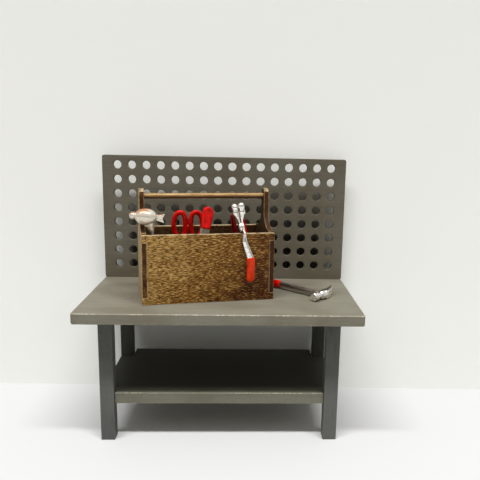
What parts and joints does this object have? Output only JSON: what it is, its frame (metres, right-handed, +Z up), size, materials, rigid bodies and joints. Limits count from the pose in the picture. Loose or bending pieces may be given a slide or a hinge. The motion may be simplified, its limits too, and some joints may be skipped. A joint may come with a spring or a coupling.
{
  "type": "toy workbench",
  "caption": "Toy workbench with a low shelf and a pegboard back, carrying a plywood toolbox of loose hand tools and a claw hammer that lies beside it.",
  "frame": {"origin": "on the floor under the middle of the bench's bounding box", "axes": "+X to the right as seen from the front, +Y from the front edge to the pegboard, +Z up"},
  "size_m": [0.12, 0.0674, 0.1218],
  "materials": {
    "bench_paint": "warm grey matt paint on wood, worn pale along the edges",
    "leg_paint": "charcoal grey matt paint on wood",
    "board_paint": "dark warm grey paint on hardboard",
    "dowel_wood": "honey-coloured varnished dowel",
    "pin_steel": "plain steel pin",
    "stained_ply": "dark oak stain on plywood with burnt edges",
    "cast_silver": "bright cast white metal",
    "dark_shaft": "dark polished metal",
    "red_dip": "glossy red dipped coating"
  },
  "bodies": {
    "bench": {"bench_top": "bench_paint", "shelf": "bench_paint", "pegboard": "board_paint", "front_left_leg": "leg_paint", "front_right_leg": "leg_paint", "back_left_leg": "leg_paint", "back_right_leg": "leg_paint", "leg_dowels": "dowel_wood", "shelf_pins": "pin_steel", "pegboard_pins": "pin_steel"},
    "toolbox": {"box_front": "stained_ply", "box_back": "stained_ply", "box_left_end": "stained_ply", "box_right_end": "stained_ply", "box_floor": "stained_ply", "box_handle": "dowel_wood"},
    "box_hammer": {"box_hammer_head": "cast_silver", "box_hammer_shaft": "cast_silver", "box_hammer_grip": "red_dip"},
    "bench_hammer": {"bench_hammer_head": "cast_silver", "bench_hammer_shaft": "dark_shaft", "bench_hammer_grip": "red_dip"},
    "chisel": {"chisel_blade": "cast_silver", "chisel_handle": "red_dip"},
    "snips_right": {"snips_right_blade": "cast_silver", "snips_right_bow": "red_dip", "snips_rivet": "cast_silver"},
    "snips_left": {"snips_left_blade": "cast_silver", "snips_left_bow": "red_dip"},
    "rim_pliers_outer": {"rim_pliers_outer_half": "cast_silver", "rim_pliers_outer_grip": "red_dip", "rim_pliers_rivet": "cast_silver"},
    "rim_pliers_inner": {"rim_pliers_inner_half": "cast_silver", "rim_pliers_inner_grip": "red_dip"},
    "box_pliers_right": {"box_pliers_right_half": "cast_silver", "box_pliers_right_grip": "red_dip", "box_pliers_rivet": "cast_silver"},
    "box_pliers_left": {"box_pliers_left_half": "cast_silver", "box_pliers_left_grip": "red_dip"}
  },
  "joints": [
    {"name": "toolbox_lift", "type": "slide", "parent": "bench", "child": "toolbox", "axis": [0, 0, 1], "range_m": [0, 0.07]},
    {"name": "box_hammer_lift", "type": "slide", "parent": "toolbox", "child": "box_hammer", "axis": [0, 0, 1], "range_m": [0, 0.055]},
    {"name": "chisel_lift", "type": "slide", "parent": "toolbox", "child": "chisel", "axis": [0, 0, 1], "range_m": [0, 0.055]},
    {"name": "snips_lift", "type": "slide", "parent": "toolbox", "child": "snips_right", "axis": [0, 0, 1], "range_m": [0, 0.055]},
    {"name": "snips_pivot", "type": "hinge", "parent": "snips_right", "child": "snips_left", "pos_m": [-0.01578, 0.00263, 0.0755], "axis": [0.2181, -0.9759, 0], "range_deg": [0, 18]},
    {"name": "rim_pliers_lift", "type": "slide", "parent": "toolbox", "child": "rim_pliers_outer", "axis": [0, 0, 1], "range_m": [0, 0.055]},
    {"name": "rim_pliers_pivot", "type": "hinge", "parent": "rim_pliers_outer", "child": "rim_pliers_inner", "pos_m": [0.00843, -0.01081, 0.0935], "axis": [0.9596, 0.2145, 0.1822], "range_deg": [0, 8]},
    {"name": "box_pliers_lift", "type": "slide", "parent": "toolbox", "child": "box_pliers_right", "axis": [0, 0, 1], "range_m": [0, 0.055]},
    {"name": "box_pliers_pivot", "type": "hinge", "parent": "box_pliers_right", "child": "box_pliers_left", "pos_m": [0.01077, 0.00805, 0.07375], "axis": [0.2181, -0.9759, 0], "range_deg": [0, 12]},
    {"name": "bench_hammer_lift", "type": "slide", "parent": "bench", "child": "bench_hammer", "axis": [0, 0, 1], "range_m": [0, 0.07]}
  ]
}
